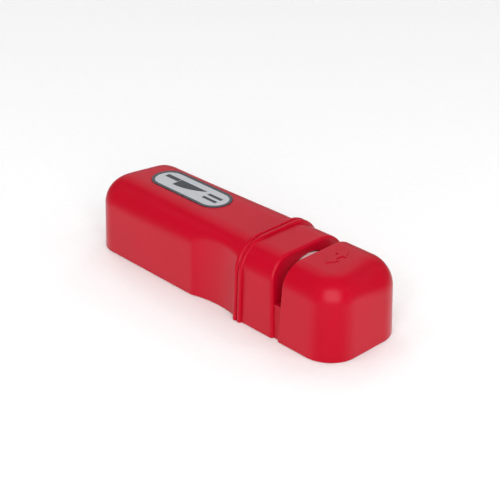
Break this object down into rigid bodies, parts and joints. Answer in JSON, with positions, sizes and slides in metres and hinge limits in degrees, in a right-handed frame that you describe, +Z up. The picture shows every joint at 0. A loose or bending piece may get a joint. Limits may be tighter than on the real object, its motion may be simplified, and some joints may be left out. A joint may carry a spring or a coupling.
{
  "type": "pull-through sharpener",
  "caption": "Hand-held blade sharpener with a rounded bar handle, ribbed collar, cross slot and bevelled ceramic wheels that turn on an axle inside a rounded head.",
  "frame": {"origin": "middle of the footprint, on the surface that the foot pads stand on", "axes": "+X from the handle's rear end to the head, +Z up; a blade is drawn along Y"},
  "size_m": [0.1464, 0.0466, 0.0355],
  "materials": {
    "red_plastic": "satin moulded plastic",
    "inner_plastic": "satin moulded plastic",
    "base_plastic": "fine spark-textured plastic",
    "hub_plastic": "natural nylon",
    "ceramic": "fine-grit sintered ceramic",
    "steel": "ground steel",
    "screw_steel": "zinc plated",
    "badge_frame": "dark grey lacquer",
    "badge_face": "brushed",
    "badge_print": "printed enamel",
    "foot_rubber": "matt rubber"
  },
  "bodies": {
    "housing": {"handle_shell": "red_plastic", "mid_shell": "red_plastic", "head_shell": "red_plastic", "wheel_chassis": "inner_plastic", "handle_base_plate": "base_plastic", "front_base_plate": "base_plastic", "wheel_axle": "steel", "axle_clip": "steel", "centre_washer": "hub_plastic", "rear_thrust_washer": "hub_plastic", "front_thrust_washer": "hub_plastic", "rear_axle_cap": "inner_plastic", "front_axle_cap": "inner_plastic", "axle_cap_screws": "screw_steel", "handle_base_screws": "screw_steel", "front_base_screws": "screw_steel", "cover_screws": "screw_steel", "handle_joint_screws": "screw_steel", "badge_bezel": "badge_frame", "badge_plate": "badge_face", "badge_emblem": "badge_print", "foot_pad_rear_near": "foot_rubber", "foot_pad_rear_far": "foot_rubber", "foot_pad_front_near": "foot_rubber", "foot_pad_front_far": "foot_rubber"},
    "rear_wheel": {"rear_ceramic_wheel": "ceramic", "rear_wheel_hub": "hub_plastic"},
    "front_wheel": {"front_ceramic_wheel": "ceramic", "front_wheel_hub": "hub_plastic"}
  },
  "joints": [
    {"name": "rear_wheel_spin", "type": "hinge", "parent": "housing", "child": "rear_wheel", "pos_m": [0.0396, 0, 0.016], "axis": [1, 0, 0], "continuous": true},
    {"name": "front_wheel_spin", "type": "hinge", "parent": "housing", "child": "front_wheel", "pos_m": [0.0455, 0, 0.016], "axis": [1, 0, 0], "continuous": true}
  ]
}
